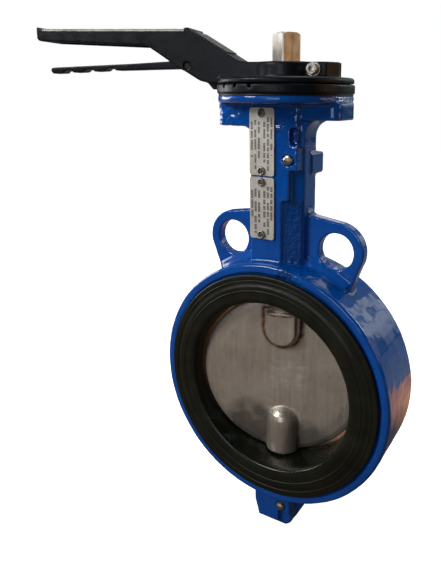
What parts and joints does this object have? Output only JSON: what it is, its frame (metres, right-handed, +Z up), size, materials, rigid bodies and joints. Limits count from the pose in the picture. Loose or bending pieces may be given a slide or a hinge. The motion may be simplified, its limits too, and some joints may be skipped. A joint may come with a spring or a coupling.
{
  "type": "butterfly valve",
  "caption": "Wafer butterfly valve: blue cast body with a rubber seat, steel disc, long neck, notch plate and a squeeze-trigger hand lever.",
  "frame": {"origin": "centre of the pipe bore, where the stem axis crosses the pipe axis", "axes": "+Z up along the stem towards the hand lever; +Y along the pipe, away from the name plates; +X to the right when the name plates are faced"},
  "size_m": [0.2645, 0.1039, 0.3629],
  "materials": {
    "blue_epoxy": "glossy fusion-bonded epoxy over rough cast iron, with runs and orange peel",
    "black_powder_coat": "satin black powder coat",
    "epdm_rubber": "moulded black rubber, slightly glossy",
    "cast_stainless": "cast stainless steel, fine-ground on the faces",
    "stem_steel": "turned and milled stainless steel",
    "bright_zinc": "bright zinc-plated steel",
    "plate_aluminium": "thin matt aluminium sheet",
    "ptfe_bushing": "filled fluoropolymer",
    "spring_steel": "drawn spring wire"
  },
  "bodies": {
    "valve_body": {"body": "blue_epoxy", "seat_liner": "epdm_rubber", "upper_bushing": "ptfe_bushing", "middle_bushing": "ptfe_bushing", "lower_bushing": "ptfe_bushing", "stem_oring_lower": "epdm_rubber", "stem_oring_upper": "epdm_rubber", "stem_dust_seal": "epdm_rubber", "upper_retaining_pin": "bright_zinc", "lower_retaining_pin": "bright_zinc", "notch_plate": "black_powder_coat", "plate_screw_left": "bright_zinc", "plate_screw_right": "bright_zinc", "name_plate_upper": "plate_aluminium", "name_plate_lower": "plate_aluminium", "rivet_1": "bright_zinc", "rivet_2": "bright_zinc", "rivet_3": "bright_zinc", "rivet_4": "bright_zinc"},
    "stem_and_lever": {"disc": "cast_stainless", "upper_stem": "stem_steel", "lower_stem": "stem_steel", "lever_handle": "black_powder_coat", "lever_label": "plate_aluminium", "clamp_screw": "bright_zinc", "clamp_washer": "bright_zinc", "trigger_pivot_pin": "black_powder_coat", "trigger_spring": "spring_steel"},
    "trigger": {"trigger": "black_powder_coat"}
  },
  "joints": [
    {"name": "valve_turn", "type": "hinge", "parent": "valve_body", "child": "stem_and_lever", "pos_m": [0, 0, 0], "axis": [0, 0, 1], "range_deg": [-15, 75]},
    {"name": "trigger_squeeze", "type": "hinge", "parent": "stem_and_lever", "child": "trigger", "pos_m": [-0.06278, -0.01682, 0.2202], "axis": [-0.2588, 0.9659, 0], "range_deg": [0, 8], "stiffness_Nm_per_rad": 1, "springref_deg": -11.46, "deforming": ["trigger_spring"]}
  ]
}
